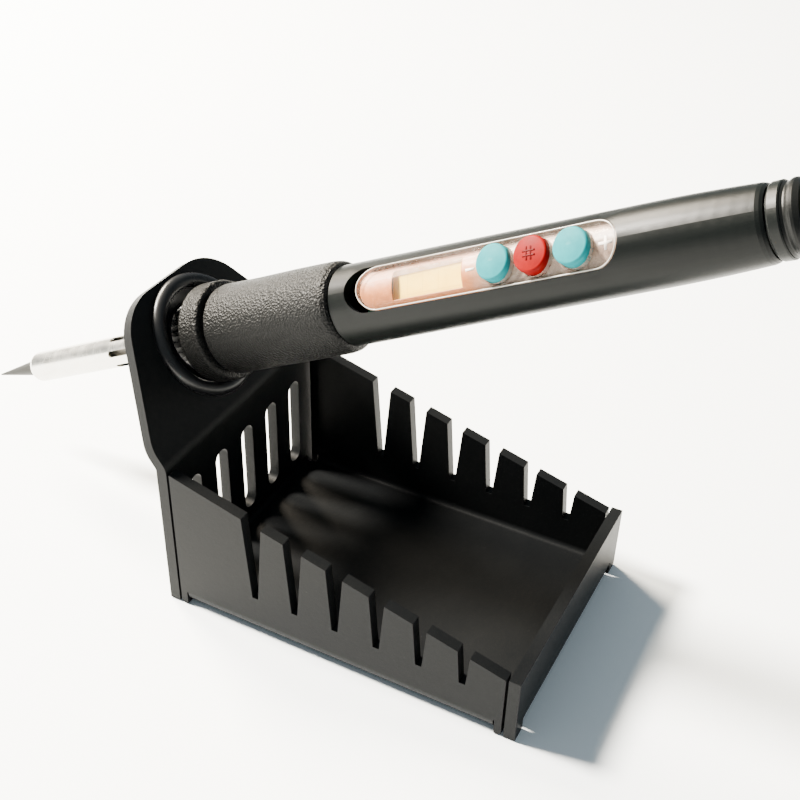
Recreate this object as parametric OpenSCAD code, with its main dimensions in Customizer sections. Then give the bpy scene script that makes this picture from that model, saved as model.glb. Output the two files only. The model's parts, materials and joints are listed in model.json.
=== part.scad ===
// Soldering iron station: a folded sheet steel tray with a leaning holder plate,
// and a hand iron with a screen and three buttons that lifts out of the holder.
// Millimetres. X runs from the holder plate to the front lip, Y across, Z up.
// The origin is the centre of the tray's footprint on the bench.

/* [Tray] */
// outside length of the tray, holder plate to front lip
tray_l = 100; // [80:1:130]
// outside width of the tray
tray_w = 70; // [55:1:90]
// sheet thickness
sheet_t = 3; // [2:0.5:4]
// inner radius of every fold
fold_r = 1.5; // [1:0.5:3]
// side wall height at the holder plate
wall_back_h = 43.4; // [35:0.2:55]
// side wall height at the front lip
wall_front_h = 19.4; // [12:0.2:28]
// height of the front lip
lip_h = 19.8; // [12:0.2:28]
// slit between a side wall and the plates at its ends
wall_gap = 0.7; // [0.5:0.1:1.5]
// height of the free plate ears above the bench
ear_lift = 0.3; // [0.2:0.1:3]

/* [Notches] */
// number of notches in each side wall
notch_n = 6; // [3:1:8]
// distance from the back of the tray to the first notch
notch_x0 = 27.4; // [20:0.2:35]
// notch spacing
notch_pitch = 11.6; // [9:0.2:14]
// height of the notch bottoms
notch_z = 12.6; // [8:0.2:16]
// width of the notch bottoms
notch_w = 1.7; // [1:0.1:3]
// side slope of a notch, width gained on each side per unit of height
notch_slope = 0.08; // [0.04:0.01:0.12]

/* [Back slots] */
// number of slots in the back plate
slot_n = 5; // [3:1:7]
// slot spacing
slot_pitch = 12; // [10:0.5:14]
// slot width
slot_w = 5.3; // [4.2:0.1:7]
// lower end of the slots
slot_z0 = 7.3; // [6:0.1:12]
// upper end of the slots
slot_z1 = 35.3; // [28:0.1:38]

/* [Holder plate] */
// lean of the holder plate from upright, degrees
plate_lean = 35.5; // [25:0.5:45]
// length of the leaning plate above its fold
plate_s = 37.9; // [34:0.1:46]
// height of the fold's corner line
plate_z = 44.8; // [40:0.2:52]
// hole centre above the fold's corner line, along the plate
hole_s = 20.2; // [16:0.2:23]
// hole radius in the sheet
hole_r = 14; // [12.5:0.1:15]
// radius of the rubber collar's bead, to the middle of the bead
collar_r = 14.8; // [14.2:0.1:18]
// radius of the bead's own section
bead_r = 2; // [1.5:0.1:3]
// clear radius inside the rubber collar
collar_in = 9; // [8.8:0.1:12]

/* [Iron position] */
// height of the iron's axis over the tray's back edge
axis_z = 65.5; // [60:0.1:72]
// slope of the iron, degrees above level
iron_tilt = 26.7; // [20:0.1:40]
// roll of the window towards the near side, degrees
iron_roll = 49; // [0:1:90]

/* [Iron sizes] */
// distance from the datum forward to the end of the tip
tip_z = 96.8; // [85:0.1:110]
// radius of the tip where it leaves the sleeve
tip_r = 2.3; // [1.5:0.05:3]
// distance from the datum forward to the front end of the steel sleeve
sleeve_z = 78.3; // [70:0.1:82]
// radius of the steel sleeve
sleeve_r = 4.35; // [4.2:0.05:6]
// number of vent slots round the sleeve
vent_n = 6; // [3:1:8]
// front end of the vent slots, distance forward of the datum
vent_z = 43; // [38:0.5:60]
// width of the vent slots
vent_w = 1.7; // [1:0.1:2.2]
// radius of the sleeve nut
nut_r = 8.2; // [7:0.1:9]
// radius of the grip's front flange
flange_r = 13; // [12:0.1:15]
// radius of the grip at its waist
grip_r = 11.4; // [10:0.05:12]
// radius of the handle behind the grip
handle_r0 = 9.77; // [9:0.01:11]
// radius that the handle's straight taper would reach at its rear end
handle_r1 = 8.52; // [8:0.01:10]
// distance from the datum where the handle starts to round in towards its rear end
round_z = 119; // [110:1:135]
// how far the rear end is rounded in
round_in = 0.66; // [0:0.02:1]
// distance of the grip's rear end from the datum
grip_z1 = 40.4; // [36:0.1:48]
// distance of the handle's rear end from the datum
handle_z1 = 143; // [130:0.5:155]
// bore radius of the handle
bore_r = 7.4; // [7:0.1:8]

/* [Window and buttons] */
// window length
lens_l = 65.3; // [55:0.1:72]
// window width
lens_w = 10.6; // [9:0.1:12]
// distance of the window's centre from the datum
lens_z = 81.35; // [75:0.05:88]
// window thickness
lens_t = 1.3; // [1:0.1:1.8]
// length of the open recess in front of the window
recess_l = 3.3; // [1:0.1:5]
// spacing of the buttons
btn_pitch = 9.3; // [9:0.1:10]
// distance of the middle button from the datum
btn_z = 94.9; // [90:0.1:98]
// button radius
btn_r = 4.05; // [3.5:0.05:4.3]
// height of the buttons over the handle's surface
btn_h = 1.3; // [0.6:0.1:2]

/* [Cord boot] */
// length of the ribbed boot behind its first bead
boot_l = 22.2; // [15:0.2:40]
// number of ribs on the boot
rib_n = 6; // [3:1:10]
// radius of the bore for the mains cord
cord_r = 2.7; // [2:0.1:3.5]

/* [Hidden] */
$fn = 96;
eps = 0.01;

hl = tray_l / 2;
hw = tray_w / 2;
fold_o = fold_r + sheet_t;
wall_x0 = -hl + sheet_t + wall_gap;
wall_x1 = hl - sheet_t - wall_gap;
fold_x = hl - fold_o;
fold_y = hw - fold_o;
side_fold_x = wall_x1 - 2.3;
end_fold_y = fold_y - 0.6;
wall_slope = (wall_front_h - wall_back_h) / (wall_x1 - wall_x0);

function top_z(x) = wall_back_h + wall_slope * (x - wall_x0);
function notch_x(i) = -hl + notch_x0 + i * notch_pitch;
// where a notch side, leaning by notch_slope, meets the sloping top edge
function side_x(i, d) = notch_x(i) + d * (notch_w / 2 + notch_slope
  * (top_z(notch_x(i)) - notch_z)) / (1 - d * notch_slope * wall_slope);
function notch_pts(i) = [
  [side_x(i, -1), top_z(side_x(i, -1))],
  [notch_x(i) - notch_w / 2, notch_z],
  [notch_x(i) + notch_w / 2, notch_z],
  [side_x(i, 1), top_z(side_x(i, 1))]];

steel_black = [0.13, 0.13, 0.14];
rubber_black = [0.08, 0.08, 0.09];
steel = [0.75, 0.75, 0.74];
satin = [0.6, 0.6, 0.58];
plastic_grey = [0.24, 0.26, 0.26];
white = [0.93, 0.92, 0.88];
clear_peach = [0.98, 0.86, 0.74, 0.4];
cream = [1, 0.94, 0.8];
cyan = [0.55, 0.86, 0.86];
red = [0.8, 0.12, 0.12];
board_green = [0.08, 0.35, 0.2];

// a quarter of a ring in the X-Z plane, from straight down to the +X side
module fold_2d(r_in, r_out, a0, a1) {
  intersection() {
    difference() {
      circle(r = r_out);
      circle(r = r_in);
    }
    polygon([[0, 0],
      [2 * r_out * cos(a0), 2 * r_out * sin(a0)],
      [2 * r_out * cos((a0 + a1) / 2), 2 * r_out * sin((a0 + a1) / 2)],
      [2 * r_out * cos(a1), 2 * r_out * sin(a1)]]);
  }
}

// extrudes an X-Z drawing along Y, centred
module along_y(w) {
  rotate([90, 0, 0])
    translate([0, 0, -w / 2])
      linear_extrude(w)
        children();
}

// ---------------------------------------------------------------- tray
module wall_2d() {
  lower = [[wall_x1, top_z(wall_x1)], [wall_x1, ear_lift + 0.6],
    [wall_x1 - 0.8, ear_lift], [side_fold_x + 0.4, ear_lift], [side_fold_x + 0.4, fold_o],
    [-side_fold_x - 0.4, fold_o], [-side_fold_x - 0.4, ear_lift],
    [wall_x0 + 0.8, ear_lift], [wall_x0, ear_lift + 0.6], [wall_x0, wall_back_h]];
  polygon(concat([for (i = [0:notch_n - 1]) each notch_pts(i)], lower));
}

module side_wall(s) {
  translate([0, s * (hw - sheet_t / 2), 0])
    along_y(sheet_t)
      wall_2d();
  translate([0, s * fold_y, fold_o])
    rotate([90, 0, 90])
      translate([0, 0, -side_fold_x])
        linear_extrude(2 * side_fold_x)
          fold_2d(fold_r, fold_o, s > 0 ? -90 : 180, s > 0 ? 0 : 270);
  translate([-side_fold_x, s > 0 ? fold_y - 1 : -fold_y, 0])
    cube([2 * side_fold_x, 1, sheet_t]);
}

// an upright plate across an end, with two ears outside its fold
module end_plate(h) {
  translate([hl - sheet_t, -hw, fold_o])
    cube([sheet_t, tray_w, h - fold_o]);
  for (s = [-1, 1])
    translate([hl - sheet_t, s > 0 ? end_fold_y + 0.5 : -hw, ear_lift])
      cube([sheet_t, hw - end_fold_y - 0.5, fold_o - ear_lift + eps]);
  translate([fold_x, 0, fold_o])
    along_y(2 * end_fold_y)
      fold_2d(fold_r, fold_o, -90, 0);
}

module slot_2d() {
  zc0 = slot_z0 + slot_w / 2;
  zc1 = slot_z1 - slot_w / 2;
  for (i = [0:slot_n - 1])
    translate([(i - (slot_n - 1) / 2) * slot_pitch, 0]) {
      translate([0, zc0])
        circle(d = slot_w);
      translate([0, zc1])
        circle(d = slot_w);
      translate([-slot_w / 2, zc0])
        square([slot_w, zc1 - zc0]);
    }
}

// the leaning plate's outline, across and along the plate
module holder_2d() {
  top_r = 16;
  cy = 7.9;
  cs = plate_s - top_r;
  fa = 29;
  // flank tangent point and the flank's corner with the straight side
  ty = cy + top_r * cos(fa);
  ts = cs + top_r * sin(fa);
  ks = ts - (hw - ty) / tan(fa);
  low_r = 10;
  lt = low_r * tan(fa / 2);
  s0 = fold_o * tan(plate_lean / 2) - 0.02;
  for (m = [0, 1])
    mirror([m, 0]) {
      translate([cy, cs])
        circle(r = top_r);
      polygon([[-eps, s0], [hw, s0], [hw, ks - lt], [hw - lt * sin(fa), ks + lt * cos(fa)],
        [ty, ts], [cy, cs], [cy, plate_s], [-eps, plate_s]]);
      intersection() {
        translate([hw - low_r, ks - lt])
          circle(r = low_r);
        translate([0, s0])
          square([hw, plate_s]);
      }
    }
}

// places drawings made in the leaning plate's own frame: X out of the front face,
// Y across, Z up along the plate from the fold's corner line
module on_plate() {
  translate([-hl + sheet_t, 0, plate_z])
    rotate([0, -plate_lean, 0])
      children();
}

module tray_sheet() {
  color(steel_black) {
    // floor
    translate([-fold_x, -fold_y, 0])
      cube([2 * fold_x, 2 * fold_y, sheet_t]);
    side_wall(1);
    side_wall(-1);
    end_plate(lip_h);
    // back plate with its slots, up to the holder plate's fold
    difference() {
      mirror([1, 0, 0])
        end_plate(plate_z - fold_o * tan(plate_lean / 2) + 0.02);
      translate([-hl - 1, 0, 0])
        rotate([90, 0, 90])
          linear_extrude(sheet_t + 2)
            slot_2d();
    }
    translate([-hl - fold_r, 0, plate_z - fold_o * tan(plate_lean / 2)])
      along_y(tray_w)
        fold_2d(fold_r, fold_o, 0, plate_lean);
    on_plate()
      difference() {
        translate([-sheet_t, 0, 0])
          rotate([90, 0, 90])
            linear_extrude(sheet_t)
              holder_2d();
        translate([-sheet_t - 1, 0, hole_s])
          rotate([0, 90, 0])
            cylinder(r = hole_r, h = sheet_t + 2);
      }
  }
}

// rubber collar: rounded bead in front, funnel down to the clear hole, lip behind
module collar_2d() {
  bead_h = 0.2;
  lip_r = 1.5;
  lip_h = sheet_t + 0.1 + lip_r;
  difference() {
    union() {
      translate([collar_r, bead_h])
        circle(r = bead_r);
      polygon([[collar_in + 0.8, -lip_h], [hole_r - 0.3, -lip_h], [hole_r - 0.05, 0.6],
        [collar_r, 0.6], [collar_r - bead_r + 0.1, 0.3], [collar_in + 1.2, -1],
        [collar_in, -2.2], [collar_in, -lip_h + 0.8]]);
      // lip behind the sheet
      translate([hole_r - 0.3, -lip_h])
        circle(r = lip_r);
      translate([hole_r - 1.5, -lip_h - lip_r])
        square([1.2, 1.6]);
    }
    // room for the sheet
    translate([hole_r - 0.05, -sheet_t - 0.05])
      square([20, sheet_t + 0.1]);
  }
}

module holder_collar() {
  color(rubber_black)
    on_plate()
      translate([0, 0, hole_s])
        rotate([0, 90, 0])
          rotate_extrude()
            difference() {
              collar_2d();
              translate([0, -9])
                square([collar_in, 20]);
            }
}

// ---------------------------------------------------------------- iron
// the iron's own frame: Z along the iron towards its cord, X out of the window
module iron() {
  translate([-hl, 0, axis_z])
    rotate([0, 90 - iron_tilt, 0])
      rotate([0, 0, 180 + iron_roll])
        children();
}

// radius of the handle: a straight taper, rounded in towards the rear end
function handle_r(z) = handle_r0 + (handle_r1 - handle_r0) * (z - grip_z1)
  / (handle_z1 - grip_z1) - round_in * pow(max(0, z - round_z) / (handle_z1 - round_z), 2);

module tip() {
  color(satin)
    iron()
      rotate_extrude()
        polygon([[0, -tip_z], [0.22, -tip_z + 0.1], [tip_r, -tip_z + 17], [tip_r, -sleeve_z + 1.1],
          [3.3, -sleeve_z + 1.1], [3.3, -sleeve_z + 4.1], [3.2, -sleeve_z + 4.3], [3.2, -56],
          [2.1, -56], [2.1, -sleeve_z + 3.2], [0, -sleeve_z + 3.2]]);
}

// outside of the sleeve: rounded front end, plain tube, flange held by the nut
module sleeve_2d() {
  front_r = 1.9;
  polygon([[1, -sleeve_z], [sleeve_r - front_r, -sleeve_z],
    [sleeve_r - front_r, -sleeve_z + front_r], [sleeve_r, -sleeve_z + front_r],
    [sleeve_r, -15.6], [6, -15.6], [6, -13.6], [1, -13.6]]);
  intersection() {
    translate([sleeve_r - front_r, -sleeve_z + front_r])
      circle(r = front_r);
    translate([1, -sleeve_z - 0.5])
      square([5, front_r + 0.5]);
  }
}

// one vent slot with round ends, cut through one side of the sleeve's wall
module vent(l) {
  rotate([0, 90, 0])
    translate([-l, 0, sleeve_r - 1.4])
      linear_extrude(3)
        union() {
          circle(d = vent_w);
          translate([l, 0])
            circle(d = vent_w);
          translate([0, -vent_w / 2])
            square([l, vent_w]);
        }
}

module tip_sleeve() {
  vent_l = 20;
  vent_turn = 26;
  color(steel)
    iron()
      difference() {
        rotate_extrude()
          difference() {
            sleeve_2d();
            translate([0, -90])
              square([tip_r + 0.2, 90]);
            translate([0, -sleeve_z + 0.9])
              square([3.85, 80]);
          }
        for (i = [0:vent_n - 1])
          rotate([0, 0, i * 360 / vent_n + vent_turn])
            translate([0, 0, -vent_z + vent_w / 2])
              vent(vent_l);
      }
}

module sleeve_nut() {
  flats = 18;
  color(steel)
    iron()
      difference() {
        rotate_extrude()
          polygon([[sleeve_r + 0.3, -17.2], [nut_r - 1.6, -17.2], [nut_r - 0.6, -16.4],
            [nut_r, -15.6], [nut_r, -7.6], [nut_r - 0.6, -7], [6.08, -7], [6.08, -15.8],
            [sleeve_r + 0.3, -15.8]]);
        for (i = [0:flats - 1])
          rotate([0, 0, i * 360 / flats])
            translate([nut_r + 0.55, 0, -15])
              cylinder(r = 1, h = 7, $fn = 24);
      }
}

module heater_rod() {
  color(white)
    iron()
      translate([0, 0, -sleeve_z + 4])
        cylinder(r = 2.02, h = sleeve_z - 10.6);
}

module heater_seat() {
  color(white)
    iron()
      translate([0, 0, -9])
        difference() {
          cylinder(r = 4.15, h = 7);
          translate([0, 0, -1])
            cylinder(r = 2.05, h = 9);
        }
}

module front_bush() {
  color(steel)
    iron()
      rotate_extrude()
        polygon([[4.2, -13.4], [6, -13.4], [6, 2.1], [7.3, 2.1], [7.3, 4], [4.2, 4]]);
}

// plain nose, narrow groove, then the sleeve of the grip with a rounded rear edge
module grip_2d() {
  nose_r = 1.2;
  rim_r = 1;
  translate([flange_r - nose_r, -6.4 + nose_r])
    circle(r = nose_r);
  translate([flange_r - rim_r, -0.5])
    circle(r = rim_r);
  polygon([[8.65, -6.4], [flange_r - nose_r, -6.4], [flange_r, -6.4 + nose_r], [flange_r, -0.5],
    [flange_r - rim_r, 0.5], [10.5, 0.5], [10.5, 1.3], [grip_r - 0.3, 1.3], [grip_r + 0.1, 1.7],
    [grip_r + 0.2, 2.6], [grip_r + 0.1, 6], [grip_r, 14], [grip_r, 26], [grip_r - 0.1, 34],
    [grip_r - 0.2, grip_z1 - 2.6], [grip_r - 0.4, grip_z1 - 1.3], [grip_r - 0.9, grip_z1 - 0.4],
    [grip_r - 1.6, grip_z1], [8.65, grip_z1]]);
}

module grip() {
  color(rubber_black)
    iron()
      rotate_extrude()
        difference() {
          grip_2d();
          square([8.65, 200], center = true);
        }
}

rear_bore_r = 6.7;

module handle_shell() {
  round_step = 3;
  outline = [for (z = [round_z:round_step:handle_z1 - 2]) [handle_r(z), z]];
  color(plastic_grey)
    iron()
      difference() {
        rotate_extrude()
          polygon(concat([[6.05, -5], [8.2, -5], [8.6, -4.6], [8.6, grip_z1 + 0.05],
            [handle_r0 - 0.3, grip_z1 + 0.05], [handle_r0, grip_z1 + 0.4]],
            outline,
            [[handle_r(handle_z1 - 1.4), handle_z1 - 1.4], [handle_r(handle_z1) - 0.12, handle_z1 - 0.6],
            [handle_r(handle_z1) - 0.5, handle_z1], [rear_bore_r, handle_z1], [rear_bore_r, 132],
            [bore_r, 132], [bore_r, 2], [6.05, 2]]));
        window_cut(lens_z - lens_l / 2 - recess_l, lens_z + lens_l / 2 + 0.1, lens_w + 0.1);
      }
}

// an opening with round ends through the window side, between two distances along the iron
module window_cut(z0, z1, w) {
  translate([4, 0, 0])
    rotate([0, 90, 0]) {
      for (z = [z0 + w / 2, z1 - w / 2])
        translate([-z, 0, 0])
          cylinder(d = w, h = 10);
      translate([-z1 + w / 2, -w / 2, 0])
        cube([z1 - z0 - w, w, 10]);
    }
}

module window() {
  z0 = lens_z - lens_l / 2;
  r0 = handle_r(z0) - 0.12;
  r1 = handle_r(z0 + lens_l) - 0.12;
  color(clear_peach)
    iron()
      difference() {
        intersection() {
          translate([0, 0, z0])
            difference() {
              cylinder(r1 = r0, r2 = r1, h = lens_l);
              translate([0, 0, -1])
                cylinder(r1 = r0 - lens_t, r2 = r1 - lens_t, h = lens_l + 2);
            }
          window_cut(z0, z0 + lens_l, lens_w);
        }
        for (i = [-1:1])
          translate([0, 0, btn_z + i * btn_pitch])
            rotate([0, 90, 0])
              cylinder(r = btn_r + 0.2, h = 12);
      }
}

board_x = 1.5;
board_t = 1;

module circuit_board() {
  color(board_green)
    iron()
      translate([board_x, -6.2, 47])
        cube([board_t, 12.4, 84]);
}

module lcd_holder() {
  color(white)
    iron()
      translate([board_x + board_t, -4.6, 56])
        cube([2.4, 9.2, 22.4]);
}

module lcd_glass() {
  color(cream)
    iron()
      translate([board_x + board_t + 2.4, -4.3, 57])
        cube([1.2, 8.6, 20.4]);
}

module controller_chip() {
  color([0.07, 0.07, 0.07])
    iron()
      translate([board_x - 1.1, -3.2, 84])
        cube([1.1, 6.4, 9]);
}

module triac() {
  color([0.07, 0.07, 0.07])
    iron()
      translate([board_x - 2.4, -3.3, 112])
        cube([2.4, 6.6, 9.5]);
}

// one button: low crown, rounded rim, and a hidden flange that stops it at the window
module button_cap(i, c) {
  rim_r = 0.65;
  crown_h = 0.3;
  crown_a = btn_r - rim_r;
  crown_r = (crown_a * crown_a + crown_h * crown_h) / (2 * crown_h);
  flange_x = 4.9;
  rim_x = handle_r(btn_z) + btn_h - crown_h;
  color(c)
    iron()
      translate([0, 0, btn_z + i * btn_pitch])
        rotate([0, 90, 0]) {
          translate([0, 0, flange_x])
            cylinder(r = btn_r + 0.45, h = 1);
          rotate_extrude()
            union() {
              translate([0, flange_x + 0.1])
                square([btn_r, rim_x - rim_r - flange_x - 0.1]);
              translate([0, rim_x - rim_r - 0.1])
                square([crown_a, rim_r + 0.1]);
              translate([crown_a, rim_x - rim_r])
                circle(r = rim_r);
            }
          translate([0, 0, rim_x - 0.05])
            intersection() {
              cylinder(r = crown_a, h = crown_h + 1);
              translate([0, 0, crown_h + 0.05 - crown_r])
                sphere(r = crown_r, $fn = 160);
            }
        }
}

module button_plunger(i) {
  color(white)
    iron()
      translate([board_x + board_t + 0.9, 0, btn_z + i * btn_pitch])
        rotate([0, 90, 0])
          cylinder(r = 1.2, h = 4.9 - board_x - board_t - 0.9);
}

module switch_body(i) {
  color(satin)
    iron()
      translate([board_x + board_t, 0, btn_z + i * btn_pitch])
        difference() {
          translate([0, -2.6, -2.6])
            cube([1.7, 5.2, 5.2]);
          translate([0.3, 0, 0])
            rotate([0, 90, 0])
              cylinder(r = 1.27, h = 5);
        }
}

module button_down() {
  button_cap(-1, cyan);
}

module button_set() {
  button_cap(0, red);
}

module button_up() {
  button_cap(1, cyan);
}

module plunger_down() {
  button_plunger(-1);
}

module plunger_set() {
  button_plunger(0);
}

module plunger_up() {
  button_plunger(1);
}

module switch_down() {
  switch_body(-1);
}

module switch_set() {
  switch_body(0);
}

module switch_up() {
  switch_body(1);
}

module cord_clamp() {
  color(white)
    iron()
      translate([board_x + board_t, -3.4, 121])
        difference() {
          cube([3.9, 6.8, 8]);
          translate([3.9, 3.4, -1])
            cylinder(r = cord_r, h = 10);
        }
}

// plastic ring that closes the handle's rear end and holds the boot
module end_cap() {
  cap_r = handle_r(handle_z1) - 0.14;
  cap_l = 2.95;
  color(plastic_grey)
    iron()
      rotate_extrude()
        polygon([[5.1, 135], [rear_bore_r - 0.05, 135], [rear_bore_r - 0.05, handle_z1 + 0.1],
          [6.9, handle_z1 + 0.1], [6.9, handle_z1 + 0.5], [cap_r - 0.25, handle_z1 + 0.5],
          [cap_r - 0.05, handle_z1 + 0.8], [cap_r, handle_z1 + cap_l - 0.3],
          [cap_r - 0.2, handle_z1 + cap_l], [5.1, handle_z1 + cap_l]]);
}

// one rib of the boot, with rounded edges
module rib_2d(r, w) {
  edge = 0.4;
  polygon([[1, 0], [r - edge, 0], [r, edge], [r, w - edge], [r - edge, w], [1, w]]);
}

module cord_boot() {
  z0 = handle_z1 + 3.05;
  bead_l = 3.6;
  z1 = z0 + bead_l;
  pitch = boot_l / rib_n;
  rib_w = pitch - 1.1;
  rib_r = 6.5;
  rib_step = 0.42;
  color(rubber_black)
    iron()
      rotate_extrude()
        difference() {
          union() {
            translate([0, 134])
              square([5.05, z0 - 134 + eps]);
            translate([0, 132.4])
              square([6.4, 1.9]);
            // first bead, hollowed in where it leaves the cap
            polygon([[1, z0], [7.4, z0], [7.1, z0 + 0.5], [7.15, z0 + 0.8], [7.5, z0 + 1.4],
              [7.65, z0 + 1.9], [7.6, z0 + 2.4], [7.05, z0 + bead_l - 0.1], [6.8, z1], [1, z1]]);
            translate([0, z1 - eps])
              square([5.4 - rib_n * rib_step, boot_l - 1.1]);
            for (i = [0:rib_n - 1]) {
              translate([0, z1 + i * pitch + 1.1])
                rib_2d(rib_r - i * rib_step, rib_w);
              translate([0, z1 + i * pitch - eps])
                square([rib_r - 1.1 - i * rib_step, 1.2]);
            }
          }
          translate([-1, 130])
            square([1 + cord_r, 60]);
        }
}

// ---------------------------------------------------------------- build
tray_sheet();
holder_collar();
tip();
tip_sleeve();
sleeve_nut();
heater_rod();
heater_seat();
front_bush();
grip();
handle_shell();
window();
lcd_glass();
lcd_holder();
circuit_board();
controller_chip();
triac();
button_down();
button_set();
button_up();
plunger_down();
plunger_set();
plunger_up();
switch_down();
switch_set();
switch_up();
cord_clamp();
end_cap();
cord_boot();
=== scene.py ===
# Soldering iron station: materials, small visible details, studio and camera.
import json
import math

import bmesh
import bpy
from mathutils import Matrix, Vector


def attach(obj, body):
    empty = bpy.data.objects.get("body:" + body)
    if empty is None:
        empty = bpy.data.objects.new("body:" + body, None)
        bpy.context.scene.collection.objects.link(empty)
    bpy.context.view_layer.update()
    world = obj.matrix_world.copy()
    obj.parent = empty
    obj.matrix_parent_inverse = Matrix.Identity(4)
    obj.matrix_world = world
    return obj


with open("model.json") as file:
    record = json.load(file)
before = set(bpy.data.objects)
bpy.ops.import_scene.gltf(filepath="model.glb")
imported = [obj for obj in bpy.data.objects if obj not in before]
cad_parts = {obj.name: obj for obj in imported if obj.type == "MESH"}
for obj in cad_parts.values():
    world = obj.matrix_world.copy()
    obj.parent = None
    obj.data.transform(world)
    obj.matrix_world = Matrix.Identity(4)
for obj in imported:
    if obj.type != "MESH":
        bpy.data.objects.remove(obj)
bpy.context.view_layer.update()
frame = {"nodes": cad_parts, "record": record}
NODES = frame["nodes"]
RECORD = frame["record"]


# ------------------------------------------------------------------ the iron's own frame
def joint(name):
    return next(j for j in RECORD["behaviour"]["joints"] if j["name"] == name)


AXIS = Vector(joint("iron_lift")["axis"]).normalized()          # towards the cord
OUT = (-Vector(joint("press_set")["axis"])).normalized()        # out of the window
SIDE = AXIS.cross(OUT).normalized()
MOUTH = Vector(next(m for m in RECORD["mounts"] if m["name"] == "cord_bore")["pos_m"])
ROT = Matrix((OUT, SIDE, AXIS)).transposed()                    # columns: out, side, along


def along(p):
    """Distance of a row-frame point from the cord bore's point, along the iron."""
    return (Vector(p) - MOUTH).dot(AXIS)


def span(node):
    """First and last distance of a CAD node along the iron."""
    co = [along(v.co) for v in NODES[node].data.vertices]
    return min(co), max(co)


def out_span(node):
    """Lowest and highest distance of a CAD node out of the window side."""
    co = [(v.co - MOUTH).dot(OUT) for v in NODES[node].data.vertices]
    return min(co), max(co)


def iron_point(x, y, z):
    """Row-frame point from out, side and along distances."""
    return MOUTH + OUT * x + SIDE * y + AXIS * z


# ------------------------------------------------------------------ material helpers
class Mat:
    """A small node-tree builder on one Principled surface."""

    def __init__(self, name):
        self.m = bpy.data.materials.new(name)
        self.m.use_nodes = True
        self.t = self.m.node_tree
        self.n = self.t.nodes
        self.bsdf = self.n["Principled BSDF"]
        self.coord = self.n.new("ShaderNodeTexCoord").outputs["Object"]

    def set(self, **kw):
        for k, v in kw.items():
            self.bsdf.inputs[k.replace("_", " ")].default_value = v
        return self

    def link(self, a, b):
        self.t.links.new(a, b)

    def iron_coord(self):
        mp = self.n.new("ShaderNodeMapping")
        mp.vector_type = "TEXTURE"
        mp.inputs["Location"].default_value = MOUTH
        mp.inputs["Rotation"].default_value = ROT.to_euler("XYZ")
        self.link(self.coord, mp.inputs["Vector"])
        return mp.outputs["Vector"]

    def scaled(self, vec, s):
        mp = self.n.new("ShaderNodeMapping")
        mp.inputs["Scale"].default_value = s
        self.link(vec, mp.inputs["Vector"])
        return mp.outputs["Vector"]

    def noise(self, vec, scale, detail=3.0, rough=0.55, distortion=0.0):
        t = self.n.new("ShaderNodeTexNoise")
        t.inputs["Scale"].default_value = scale
        t.inputs["Detail"].default_value = detail
        t.inputs["Roughness"].default_value = rough
        t.inputs["Distortion"].default_value = distortion
        self.link(vec, t.inputs["Vector"])
        return t.outputs["Fac"]

    def voronoi(self, vec, scale, feature="F1", rand=1.0):
        t = self.n.new("ShaderNodeTexVoronoi")
        t.feature = feature
        t.inputs["Scale"].default_value = scale
        t.inputs["Randomness"].default_value = rand
        self.link(vec, t.inputs["Vector"])
        return t.outputs["Distance"]

    def ramp(self, fac, stops):
        r = self.n.new("ShaderNodeValToRGB")
        e = r.color_ramp.elements
        while len(e) < len(stops):
            e.new(0.5)
        for i, (p, c) in enumerate(stops):
            e[i].position = p
            e[i].color = c if len(c) == 4 else (*c, 1.0)
        self.link(fac, r.inputs["Fac"])
        return r.outputs["Color"]

    def maprange(self, v, a, b, c, d):
        r = self.n.new("ShaderNodeMapRange")
        for k, x in zip(("From Min", "From Max", "To Min", "To Max"), (a, b, c, d)):
            r.inputs[k].default_value = x
        self.link(v, r.inputs["Value"])
        return r.outputs["Result"]

    def math(self, op, a, b=None):
        r = self.n.new("ShaderNodeMath")
        r.operation = op
        for i, x in enumerate((a, b)):
            if x is None:
                continue
            if isinstance(x, (int, float)):
                r.inputs[i].default_value = x
            else:
                self.link(x, r.inputs[i])
        return r.outputs["Value"]

    def mix(self, fac, a, b):
        r = self.n.new("ShaderNodeMix")
        r.data_type = "RGBA"
        for sock, x in ((r.inputs[0], fac), (r.inputs[6], a), (r.inputs[7], b)):
            if isinstance(x, (int, float)):
                sock.default_value = x
            elif isinstance(x, tuple):
                sock.default_value = x if len(x) == 4 else (*x, 1.0)
            else:
                self.link(x, sock)
        return r.outputs[2]

    def color(self, sock):
        self.link(sock, self.bsdf.inputs["Base Color"])
        return self

    def roughness(self, sock):
        self.link(sock, self.bsdf.inputs["Roughness"])
        return self

    def bump(self, *layers):
        """Each layer: (height socket, strength, distance in metres)."""
        last = None
        for h, s, d in layers:
            b = self.n.new("ShaderNodeBump")
            b.inputs["Strength"].default_value = s
            b.inputs["Distance"].default_value = d
            self.link(h, b.inputs["Height"])
            if last is not None:
                self.link(last, b.inputs["Normal"])
            last = b.outputs["Normal"]
        self.link(last, self.bsdf.inputs["Normal"])
        return self


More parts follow.
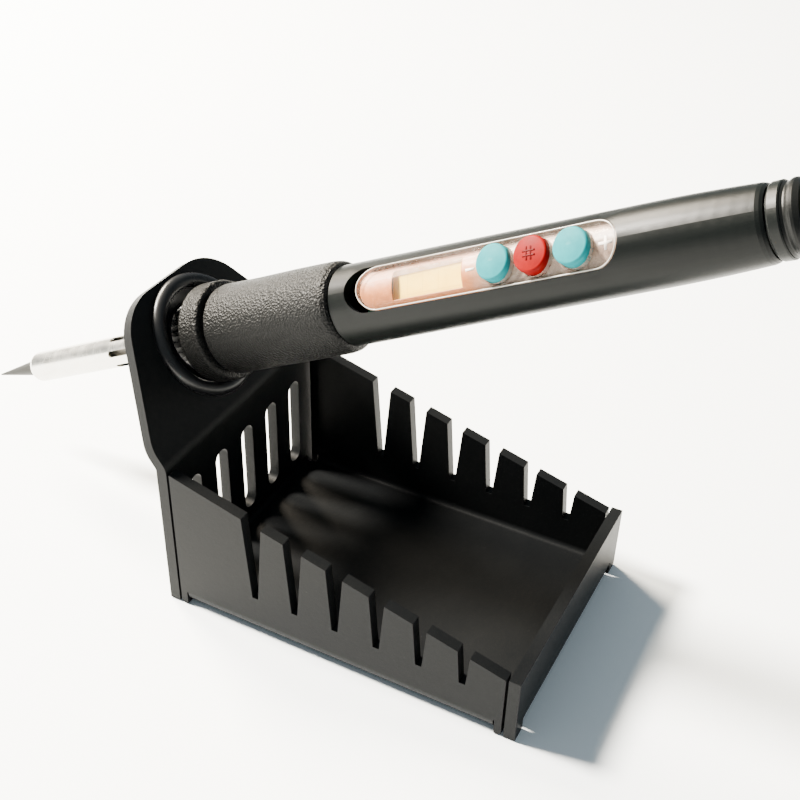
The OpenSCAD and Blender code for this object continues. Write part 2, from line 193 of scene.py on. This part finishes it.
def powder_coat():
    m = Mat("powder_coat")
    fine = m.noise(m.coord, 5200, 2, 0.6)
    orange = m.noise(m.coord, 900, 3, 0.5)
    broad = m.noise(m.coord, 45, 4, 0.6)
    grain = m.voronoi(m.coord, 2600)
    dust = m.ramp(m.noise(m.coord, 620, 6, 0.7), [(0.66, (0, 0, 0)), (0.74, (1, 1, 1))])
    base = m.ramp(broad, [(0.3, (0.0026, 0.0030, 0.0034)), (0.7, (0.0040, 0.0044, 0.0047))])
    base = m.mix(m.maprange(grain, 0.05, 0.35, 0.6, 0.0), base, (0.0085, 0.0085, 0.0080))
    m.color(m.mix(m.math("MULTIPLY", dust, 0.5), base, (0.020, 0.020, 0.019)))
    m.roughness(m.maprange(m.math("ADD", fine, m.math("MULTIPLY", broad, 0.6)), 0.5, 1.1, 0.38, 0.50))
    m.bump((orange, 0.25, 0.00012), (fine, 0.35, 0.00005))
    m.set(Specular_IOR_Level=0.07)
    return m.m


def rubber_smooth():
    m = Mat("rubber_smooth")
    broad = m.noise(m.coord, 90, 4, 0.6)
    fine = m.noise(m.coord, 2600, 3, 0.6)
    m.color(m.ramp(broad, [(0.3, (0.0040, 0.0043, 0.0050)), (0.75, (0.0065, 0.0068, 0.0075))]))
    m.roughness(m.maprange(broad, 0.3, 0.7, 0.26, 0.36))
    m.bump((fine, 0.12, 0.00004))
    m.set(Specular_IOR_Level=0.26)
    return m.m


def grip_rubber():
    m = Mat("grip_rubber")
    v = m.iron_coord()
    cell = m.voronoi(v, 1700)
    cell2 = m.voronoi(v, 3100)
    pits = m.noise(v, 2300, 4, 0.7)
    broad = m.noise(v, 70, 4, 0.6)
    base = m.ramp(pits, [(0.34, (0.0009, 0.0012, 0.0014)), (0.7, (0.0052, 0.0052, 0.0048))])
    m.color(m.mix(m.maprange(broad, 0.35, 0.65, 0.0, 0.35), base, (0.0050, 0.0050, 0.0046)))
    m.roughness(m.maprange(cell, 0.0, 0.6, 0.58, 0.42))
    m.bump((cell, 0.85, 0.00026), (cell2, 0.5, 0.00012), (pits, 0.6, 0.00012))
    m.set(Specular_IOR_Level=0.12)
    return m.m


def handle_plastic():
    m = Mat("handle_plastic")
    v = m.iron_coord()
    fine = m.noise(v, 4200, 3, 0.65)
    streak = m.noise(m.scaled(v, (900, 900, 60)), 1.0, 4, 0.6)
    broad = m.noise(v, 60, 4, 0.6)
    base = m.ramp(broad, [(0.3, (0.0016, 0.0023, 0.0022)), (0.75, (0.0024, 0.0032, 0.0030))])
    m.color(m.mix(m.maprange(streak, 0.4, 0.75, 0.0, 0.3), base, (0.0060, 0.0070, 0.0064)))
    m.roughness(m.maprange(fine, 0.3, 0.7, 0.31, 0.40))
    m.bump((fine, 0.28, 0.00004), (streak, 0.05, 0.00003))
    m.set(Specular_IOR_Level=0.11)
    return m.m


def turned_steel(name, base, rough, ring=5200.0):
    m = Mat(name)
    v = m.iron_coord()
    rings = m.noise(m.scaled(v, (8, 8, ring)), 1.0, 3, 0.7)
    blotch = m.noise(v, 160, 5, 0.6)
    rub = m.noise(m.scaled(v, (260, 260, 90)), 1.0, 4, 0.6, 0.6)
    tint = m.ramp(blotch, [(0.25, tuple(c * 0.84 for c in base)), (0.75, base)])
    worn = (base[0] * 0.82, base[1] * 0.80, base[2] * 0.74)
    warm = m.mix(m.maprange(rub, 0.52, 0.66, 0.0, 0.5), tint, worn)
    m.color(m.mix(m.maprange(rings, 0.35, 0.7, 0.0, 0.35), warm, tuple(min(1, c * 1.12) for c in base)))
    m.roughness(m.maprange(m.math("ADD", rings, blotch), 0.7, 1.3, rough, rough + 0.14))
    m.bump((rings, 0.10, 0.00003))
    m.set(Metallic=1.0)
    return m.m


def knurled_steel():
    m = Mat("nut_black_oxide")
    v = m.iron_coord()
    n = m.noise(v, 1400, 4, 0.6)
    m.color(m.ramp(n, [(0.3, (0.0020, 0.0022, 0.0025)), (0.7, (0.0034, 0.0036, 0.0040))]))
    m.roughness(m.maprange(n, 0.3, 0.7, 0.36, 0.5))
    m.bump((n, 0.08, 0.00003))
    m.set(Specular_IOR_Level=0.08)
    return m.m


def ceramic():
    m = Mat("ceramic")
    v = m.iron_coord()
    n = m.noise(v, 700, 4, 0.6)
    m.color(m.ramp(n, [(0.3, (0.13, 0.12, 0.10)), (0.7, (0.20, 0.185, 0.16))]))
    m.roughness(m.maprange(n, 0.3, 0.7, 0.45, 0.6))
    m.bump((n, 0.1, 0.00004))
    return m.m


def clear_window():
    """Clear moulded plastic: nearly all see-through, a little milky, with a glossy skin."""
    m = Mat("clear_window")
    v = m.iron_coord()
    swirl = m.noise(v, 260, 4, 0.6, 1.6)
    rub = m.noise(m.scaled(v, (2600, 2600, 180)), 1.0, 5, 0.7)
    clear = m.n.new("ShaderNodeBsdfTransparent")
    clear.inputs["Color"].default_value = (0.985, 0.975, 0.965, 1.0)
    m.color(m.ramp(swirl, [(0.35, (0.62, 0.44, 0.34)), (0.7, (0.74, 0.60, 0.52))]))
    m.roughness(m.maprange(rub, 0.4, 0.75, 0.10, 0.24))
    m.bump((swirl, 0.10, 0.0003), (rub, 0.05, 0.00002))
    m.set(Specular_IOR_Level=0.25)
    fres = m.n.new("ShaderNodeFresnel")
    fres.inputs["IOR"].default_value = 1.35
    haze = m.maprange(swirl, 0.4, 0.72, 0.006, 0.030)
    sheen = m.math("MULTIPLY", fres.outputs["Fac"], 0.4)
    body = m.math("ADD", haze, sheen)
    mixer = m.n.new("ShaderNodeMixShader")
    m.link(body, mixer.inputs[0])
    m.link(clear.outputs[0], mixer.inputs[1])
    m.link(m.bsdf.outputs[0], mixer.inputs[2])
    out = next(n for n in m.n if n.type == "OUTPUT_MATERIAL")
    m.link(mixer.outputs[0], out.inputs["Surface"])
    return m.m


def plain(name, lo, hi, rough, scale=600.0, bump=0.1, spec=0.5, iron=True):
    m = Mat(name)
    v = m.iron_coord() if iron else m.coord
    n = m.noise(v, scale, 4, 0.6)
    b = m.noise(v, scale * 0.12, 3, 0.6)
    both = m.math("ADD", m.math("MULTIPLY", n, 0.5), m.math("MULTIPLY", b, 0.5))
    m.color(m.ramp(both, [(0.3, lo), (0.7, hi)]))
    m.roughness(m.maprange(n, 0.3, 0.7, rough, rough + 0.1))
    m.bump((n, bump, 0.00004))
    m.set(Specular_IOR_Level=spec)
    return m.m


def button_plastic(name, lo, hi):
    m = Mat(name)
    v = m.iron_coord()
    n = m.noise(v, 380, 4, 0.6)
    fine = m.noise(v, 3600, 3, 0.6)
    m.color(m.ramp(n, [(0.3, lo), (0.7, hi)]))
    m.roughness(m.maprange(fine, 0.3, 0.7, 0.44, 0.56))
    m.bump((fine, 0.14, 0.00004), (n, 0.05, 0.0001))
    m.set(Specular_IOR_Level=0.05)
    return m.m


def band(m, value, lo, hi, soft):
    """1 between lo and hi, 0 outside, with soft borders."""
    up = m.maprange(value, lo - soft, lo + soft, 0.0, 1.0)
    dn = m.maprange(value, hi - soft, hi + soft, 1.0, 0.0)
    return m.math("MULTIPLY", up, dn)


def screen_face():
    """Pale cream screen with the faint outlines of its unlit segments."""
    m = Mat("screen_face")
    v = m.iron_coord()
    xyz = m.n.new("ShaderNodeSeparateXYZ")
    m.link(v, xyz.inputs[0])
    y = m.math("ABSOLUTE", xyz.outputs["Y"])
    z = xyz.outputs["Z"]
    n = m.noise(v, 420, 4, 0.6)
    smear = m.noise(v, 150, 4, 0.6, 1.2)
    base = m.ramp(n, [(0.3, (0.90, 0.60, 0.075)), (0.7, (0.95, 0.68, 0.10))])
    base = m.mix(m.maprange(smear, 0.5, 0.75, 0.0, 0.35), base, (0.62, 0.50, 0.12))
    z0 = SCREEN[0]
    across = band(m, y, 0.00225, 0.00238, 0.00004)
    lengthways = band(m, z, z0 + 0.003, SCREEN[1] - 0.0012, 0.0001)
    bars = m.math("MULTIPLY", across, lengthways)
    for dz in (0.0030, 0.0072, 0.0114):
        line = band(m, z, z0 + dz, z0 + dz + 0.00014, 0.00004)
        inside = band(m, y, -1.0, 0.0024, 0.00004)
        bars = m.math("MAXIMUM", bars, m.math("MULTIPLY", line, inside))
    m.color(m.mix(m.math("MULTIPLY", bars, 0.32), base, (0.45, 0.24, 0.05)))
    m.roughness(m.maprange(n, 0.3, 0.7, 0.28, 0.38))
    m.bump((n, 0.03, 0.00004))
    return m.m


def window_film():
    """Film under the window: peach round the screen, greyish white round the buttons."""
    m = Mat("window_film")
    v = m.iron_coord()
    xyz = m.n.new("ShaderNodeSeparateXYZ")
    m.link(v, xyz.inputs[0])
    n = m.noise(v, 900, 5, 0.65)
    swirl = m.noise(v, 210, 4, 0.6, 2.2)
    peach = m.ramp(n, [(0.3, (0.40, 0.120, 0.022)), (0.7, (0.56, 0.185, 0.040))])
    milky_stops = [(0.35, (0.16, 0.105, 0.080)), (0.62, (0.36, 0.27, 0.215)), (0.75, (0.60, 0.50, 0.43))]
    milky = m.ramp(swirl, milky_stops)
    side = m.maprange(xyz.outputs["Z"], FILM_SPLIT - 0.0025, FILM_SPLIT + 0.0035, 0.0, 1.0)
    m.color(m.mix(side, peach, milky))
    m.roughness(m.maprange(n, 0.3, 0.7, 0.35, 0.5))
    m.bump((n, 0.05, 0.00004), (swirl, 0.25, 0.0004))
    return m.m


# stations along the iron that the film, the screen and the marks are placed by
BTN_Z = {k: sum(span("button_" + k)) / 2 for k in ("down", "set", "up")}
LENS = span("window")
SCREEN_IN = 0.0009                                     # screen edge hidden under the film
SCREEN = (span("lcd_glass")[0] + SCREEN_IN, span("lcd_glass")[1] - SCREEN_IN)
FILM_SPLIT = SCREEN[1] + 0.0035

MATS = {
    "tray_sheet": powder_coat(),
    "holder_collar": rubber_smooth(),
    "grip": grip_rubber(),
    "handle_shell": handle_plastic(),
    "tip": turned_steel("tip_plate", (0.018, 0.018, 0.016), 0.42, 7000.0),
    "tip_sleeve": turned_steel("sleeve_steel", (0.66, 0.64, 0.59), 0.20),
    "sleeve_nut": knurled_steel(),
    "front_bush": turned_steel("bush_steel", (0.45, 0.45, 0.43), 0.28, 4200.0),
    "heater_rod": ceramic(),
    "window": clear_window(),
    "lcd_glass": screen_face(),
    "lcd_holder": plain("white_plastic", (0.74, 0.70, 0.63), (0.84, 0.81, 0.74), 0.4),
    "circuit_board": plain("board_green", (0.015, 0.10, 0.05), (0.03, 0.16, 0.08), 0.35),
    "controller_chip": plain("chip_black", (0.010, 0.010, 0.011), (0.020, 0.020, 0.021), 0.45),
    "button_down": button_plastic("button_cyan", (0.005, 0.145, 0.165), (0.008, 0.185, 0.205)),
    "button_set": button_plastic("button_red", (0.12, 0.0008, 0.0010), (0.16, 0.0014, 0.0016)),
    "switch_down": turned_steel("switch_steel", (0.55, 0.55, 0.53), 0.3, 3000.0),
}
MATS["end_cap"] = plain("cap_plastic", (0.0024, 0.0032, 0.0030), (0.0040, 0.0050, 0.0046),
                        0.32, 3800.0, 0.25, 0.14)
MATS["cord_boot"] = plain("boot_rubber", (0.0022, 0.0026, 0.0026), (0.0036, 0.0041, 0.0039),
                          0.34, 3000.0, 0.25, 0.14)
for new, old in (("heater_seat", "heater_rod"), ("triac", "controller_chip"), ("button_up", "button_down"),
                 ("switch_set", "switch_down"), ("switch_up", "switch_down"), ("plunger_down", "lcd_holder"),
                 ("plunger_set", "lcd_holder"), ("plunger_up", "lcd_holder"), ("cord_clamp", "lcd_holder")):
    MATS[new] = MATS[old]

for name, ob in NODES.items():
    ob.data.materials.clear()
    ob.data.materials.append(MATS[name])


def bevel(name, width, segments=2, angle=35):
    """Rounds the sharp edges of a CAD node with a modifier, its own mesh unchanged."""
    ob = NODES[name]
    mod = ob.modifiers.new("edge", "BEVEL")
    mod.width = width
    mod.segments = segments
    mod.limit_method = "ANGLE"
    mod.angle_limit = math.radians(angle)
    mod.use_clamp_overlap = False
    mod.harden_normals = False


bevel("tray_sheet", 0.00032)


# ------------------------------------------------------------------ small visible details
def add(name, mesh, mat, body):
    ob = bpy.data.objects.new(name, mesh)
    bpy.context.scene.collection.objects.link(ob)
    mesh.materials.append(mat)
    for p in mesh.polygons:
        p.use_smooth = True
    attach(ob, body)
    return ob


def lens_skin(z, outer=True):
    """Radius of the window's outer or inner skin at a station along the iron."""
    radii = {}
    for end in (0, 1):
        edge = LENS[end]
        near = []
        for v in NODES["window"].data.vertices:
            d = v.co - MOUTH
            t = d.dot(AXIS)
            if abs(t - edge) < 0.0035:
                near.append((d - AXIS * t).length)
        radii[end] = max(near) if outer else min(near)
    f = (z - LENS[0]) / (LENS[1] - LENS[0])
    return radii[0] + (radii[1] - radii[0]) * f


SKIN = {k: (lens_skin(LENS[0], k), lens_skin(LENS[1], k)) for k in (True, False)}


def skin(z, outer=True):
    a, b = SKIN[outer]
    return a + (b - a) * (z - LENS[0]) / (LENS[1] - LENS[0])


LENS_HALF = max(abs((v.co - MOUTH).dot(SIDE)) for v in NODES["window"].data.vertices)


def outline(half_w, z0, z1, n=24):
    """Points (side, along) round a shape with half-round ends."""
    pts = []
    for zc, a0 in ((z0 + half_w, 180), (z1 - half_w, 0)):
        for i in range(n + 1):
            a = math.radians(a0 + 180 * i / n)
            pts.append((half_w * math.cos(a), zc + half_w * math.sin(a)))
    return pts


def on_skin(y, z, lift, outer=True):
    r = skin(z, outer) + lift
    return iron_point(math.sqrt(max(r * r - y * y, 0.0)), y, z)


def tube_mesh(name, path, radius, sides=8):
    """Closed tube along a closed path of row-frame points."""
    bm = bmesh.new()
    rings = []
    n = len(path)
    for i, p in enumerate(path):
        t = (path[(i + 1) % n] - path[i - 1]).normalized()
        side = t.cross(OUT).normalized()
        up = side.cross(t).normalized()
        rings.append([bm.verts.new(p + radius * (math.cos(a) * side + math.sin(a) * up))
                      for a in (2 * math.pi * k / sides for k in range(sides))])
    for i in range(n):
        for k in range(sides):
            q = (k + 1) % sides
            bm.faces.new((rings[i][k], rings[i][q], rings[(i + 1) % n][q], rings[(i + 1) % n][k]))
    bmesh.ops.recalc_face_normals(bm, faces=bm.faces)
    me = bpy.data.meshes.new(name)
    bm.to_mesh(me)
    bm.free()
    return me


def spaced(pts, step):
    """The closed outline with points no further apart than step."""
    out = []
    for i, p in enumerate(pts):
        q = pts[(i + 1) % len(pts)]
        d = math.dist(p, q)
        if d < 1e-9:
            continue
        k = max(1, math.ceil(d / step))
        out += [(p[0] + (q[0] - p[0]) * j / k, p[1] + (q[1] - p[1]) * j / k) for j in range(k)]
    return out


def sheet_mesh(name, keep, ys, zs, lift, thick, place=None):
    """Curved sheet under the window's skin, with its own thickness.

    keep(y, z) says where it is, and place(y, z) may move a grid point onto a curved border.
    """
    bm = bmesh.new()
    top, low = {}, {}
    for i, y in enumerate(ys):
        for j, z in enumerate(zs):
            py, pz = place(y, z) if place else (y, z)
            top[i, j] = bm.verts.new(on_skin(py, pz, lift, False))
            low[i, j] = bm.verts.new(on_skin(py, pz, lift - thick, False))
    cells = {(i, j) for i in range(len(ys) - 1) for j in range(len(zs) - 1)
             if keep((ys[i] + ys[i + 1]) / 2, (zs[j] + zs[j + 1]) / 2)}
    for i, j in cells:
        ring = [(i, j), (i + 1, j), (i + 1, j + 1), (i, j + 1)]
        bm.faces.new([top[k] for k in ring])
        bm.faces.new([low[k] for k in reversed(ring)])
        for a, (di, dj) in enumerate(((0, -1), (1, 0), (0, 1), (-1, 0))):
            if (i + di, j + dj) not in cells:
                p, q = ring[a], ring[(a + 1) % 4]
                bm.faces.new((top[q], top[p], low[p], low[q]))
    for v in [v for v in bm.verts if not v.link_faces]:
        bm.verts.remove(v)
    bmesh.ops.recalc_face_normals(bm, faces=bm.faces)
    me = bpy.data.meshes.new(name)
    bm.to_mesh(me)
    bm.free()
    return me


def steps(a, b, n):
    return [a + (b - a) * i / n for i in range(n + 1)]


BTN_R = (span("button_set")[1] - span("button_set")[0]) / 2
BTN_HOLE = BTN_R - 0.00033                             # just outside the cap's straight side


FILM_SNAP = 0.00010


def film_keep(y, z):
    half = LENS_HALF - 0.0002
    for zc in (LENS[0] + LENS_HALF, LENS[1] - LENS_HALF):
        if (z - zc) * (1 if zc > sum(LENS) / 2 else -1) > 0 and math.hypot(y, z - zc) > half:
            return False
    if abs(y) > half:
        return False
    if SCREEN[0] < z < SCREEN[1] and abs(y) < 0.0034:
        return False
    return all(math.hypot(y, z - b) > BTN_HOLE for b in BTN_Z.values())


def film_place(y, z):
    """Puts the points at the rim of a button hole onto its circle."""
    for b in BTN_Z.values():
        d = math.hypot(y, z - b)
        if 0.0 < d < BTN_HOLE + FILM_SNAP:
            return y * BTN_HOLE / d, b + (z - b) * BTN_HOLE / d
    return y, z


film_ys = steps(-LENS_HALF, -0.0034, 8) + steps(-0.0034, 0.0034, 30)[1:] + steps(0.0034, LENS_HALF, 8)[1:]
film_zs = (steps(LENS[0], SCREEN[0], 40) + steps(SCREEN[0], SCREEN[1], 40)[1:]
           + steps(SCREEN[1], LENS[1], 170)[1:])
film_mesh = sheet_mesh("window_film", film_keep, film_ys, film_zs, -0.00010, 0.00012, film_place)
add("window_film", film_mesh, window_film(), "iron")

# thin grey-white bead laid along the window's edge: a painted highlight standing in for light caught on the
# clear window's edge
lens_edge_highlight_mat = plain("lens_edge_highlight_paint", (0.34, 0.32, 0.29), (0.52, 0.50, 0.46), 0.16, 900.0, 0.04)
highlight_outline_pts = spaced(outline(LENS_HALF - 0.00022, LENS[0] + 0.00022, LENS[1] - 0.00022), 0.0012)
highlight_path = [on_skin(y, z, 0.00002) for y, z in highlight_outline_pts]
add("window_edge_painted_highlight", tube_mesh("window_edge_painted_highlight", highlight_path, 0.00013), lens_edge_highlight_mat, "iron")

mark_mat = plain("mark_white", (0.86, 0.84, 0.80), (0.93, 0.92, 0.89), 0.4, 900.0, 0.03)


def mark(name, z, bars):
    """White mark printed on the film; each bar is (side, along) half sizes."""
    def keep(y, zz):
        return any(abs(y) < hy and abs(zz - z) < hz for hy, hz in bars)
    ys = sorted({round(v, 7) for hy, hz in bars for v in (-hy, hy)})
    zs = sorted({round(z + v, 7) for hy, hz in bars for v in (-hz, hz)})
    add(name, sheet_mesh(name, keep, ys, zs, -0.00003, 0.00005), mark_mat, "iron")


MINUS_Z = (SCREEN[1] + BTN_Z["down"] - BTN_R) / 2
PLUS_Z = (BTN_Z["up"] + BTN_R + LENS[1]) / 2 - 0.0004
mark("mark_minus", MINUS_Z, [(0.00027, 0.0011)])
mark("mark_plus", PLUS_Z, [(0.0003, 0.0015), (0.0015, 0.0003)])

# raised crossed bars on the middle button
TOP = out_span("button_set")[1]
CROWN_R = BTN_R - 0.0011
CROWN_DROP = 0.0003


def cap_x(y, z):
    d2 = (y * y + (z - BTN_Z["set"]) ** 2) / CROWN_R ** 2
    return TOP - CROWN_DROP * d2


def hash_mesh():
    bm = bmesh.new()
    half_l, half_w, gap = 0.0015, 0.00018, 0.00052
    for turn in (0, 90):
        for off in (-gap, gap):
            rows = []
            for t in steps(-half_l, half_l, 8):
                row = []
                for w, dx in ((-half_w, -0.0001), (-half_w, 0.00006), (half_w, 0.00006), (half_w, -0.0001)):
                    a, b = t, off + w
                    y, z = (a, b) if turn == 0 else (b, a)
                    row.append(bm.verts.new(iron_point(cap_x(y, BTN_Z["set"] + z) + dx, y, BTN_Z["set"] + z)))
                rows.append(row)
            for r0, r1 in zip(rows, rows[1:]):
                for k in range(4):
                    bm.faces.new((r0[k], r0[(k + 1) % 4], r1[(k + 1) % 4], r1[k]))
            bm.faces.new(rows[0])
            bm.faces.new(rows[-1][::-1])
    bmesh.ops.recalc_face_normals(bm, faces=bm.faces)
    me = bpy.data.meshes.new("button_hash")
    bm.to_mesh(me)
    bm.free()
    return me


hash_mat = button_plastic("hash_red", (0.055, 0.0006, 0.0008), (0.075, 0.0010, 0.0012))
add("button_hash", hash_mesh(), hash_mat, "key_set")

# ------------------------------------------------------------------ studio
def area(name, loc, target, size, power, color):
    li = bpy.data.lights.new(name, "AREA")
    li.shape = "DISK"
    li.size = size
    li.energy = power
    li.color = color
    ob = bpy.data.objects.new(name, li)
    bpy.context.scene.collection.objects.link(ob)
    ob.location = loc
    ob.rotation_mode = "QUATERNION"
    ob.rotation_quaternion = (Vector(target) - Vector(loc)).to_track_quat("-Z", "Y")
    return ob


bm = bmesh.new()
bmesh.ops.create_grid(bm, x_segments=1, y_segments=1, size=3.0)
me = bpy.data.meshes.new("floor")
bm.to_mesh(me)
bm.free()
floor = bpy.data.objects.new("floor", me)
bpy.context.scene.collection.objects.link(floor)
fm = Mat("floor_paper")
fn = fm.noise(fm.coord, 3.0, 4, 0.5)
fm.color(fm.ramp(fn, [(0.3, (0.86, 0.90, 0.93)), (0.7, (0.88, 0.92, 0.95))]))
fm.set(Roughness=0.75, Specular_IOR_Level=0.2)
floor.data.materials.append(fm.m)

world = bpy.data.worlds.new("studio")
bpy.context.scene.world = world
world.use_nodes = True
bg = world.node_tree.nodes["Background"]
bg.inputs["Color"].default_value = (0.78, 0.92, 1.0, 1.0)
bg.inputs["Strength"].default_value = 0.48

# key from behind the holder plate, about 42 degrees up
KEY = Vector((-0.706, -0.07, 0.64)).normalized()
area("key", Vector((0, 0, 0.03)) + KEY * 1.4, (0, 0, 0.03), 0.30, 205.0, (1.0, 0.93, 0.82))

# large soft source further behind, for the broad sheen along the handle's top
SOFT = Vector((-0.72, 0.30, 0.62)).normalized()
area("soft", Vector((0, 0, 0.03)) + SOFT * 1.5, (0, 0, 0.03), 0.5, 115.0, (1.0, 0.88, 0.70))

# ------------------------------------------------------------------ camera
cam_data = bpy.data.cameras.new("camera")
cam = bpy.data.objects.new("camera", cam_data)
bpy.context.scene.collection.objects.link(cam)
CAMERA_AT = (0.10852, -0.21731, 0.23561)
right = Vector((0.88568, 0.46372, 0.02313))
down = Vector((0.28764, -0.50891, -0.81134))
ahead = Vector((-0.36446, 0.72524, -0.58412))
turn = Matrix((right, -down, -ahead)).transposed().to_4x4()
cam.matrix_world = Matrix.Translation(CAMERA_AT) @ turn
cam_data.sensor_width = 36.0
cam_data.lens = 54.99
cam_data.clip_start = 0.01
cam_data.clip_end = 50
bpy.context.scene.camera = cam
